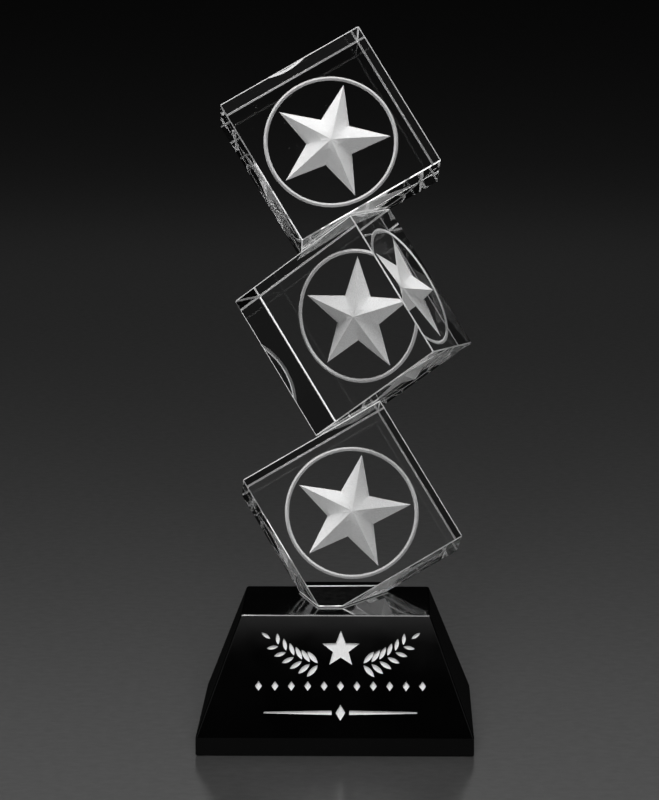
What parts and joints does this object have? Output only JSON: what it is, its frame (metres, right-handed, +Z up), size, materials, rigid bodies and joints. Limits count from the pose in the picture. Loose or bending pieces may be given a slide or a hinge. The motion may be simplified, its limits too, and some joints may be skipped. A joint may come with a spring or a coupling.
{
  "type": "star trophy",
  "caption": "Leaning stack of clear crystal blocks with stars carved into their rear faces, bonded corner over corner on a black crystal base.",
  "frame": {"origin": "centre of the base's square footprint, on the surface the trophy stands on", "axes": "+Z up, the front from which the stars are read faces -Y, +X to that viewer's right"},
  "size_m": [0.1016, 0.1016, 0.2633],
  "materials": {
    "flock": "short black flock on a self-adhesive pad",
    "black_crystal": "opaque black optical crystal, polished, front face lightly etched",
    "clear_crystal": "optical crystal, polished faces and chamfers, frosted carving",
    "clear_adhesive": "cured clear UV adhesive"
  },
  "bodies": {
    "root": {"base_pad": "flock", "base_block": "black_crystal", "seat_bond": "clear_adhesive", "lower_block": "clear_crystal", "lower_joint_bond": "clear_adhesive", "middle_block": "clear_crystal", "upper_joint_bond": "clear_adhesive", "upper_block": "clear_crystal"}
  },
  "joints": []
}
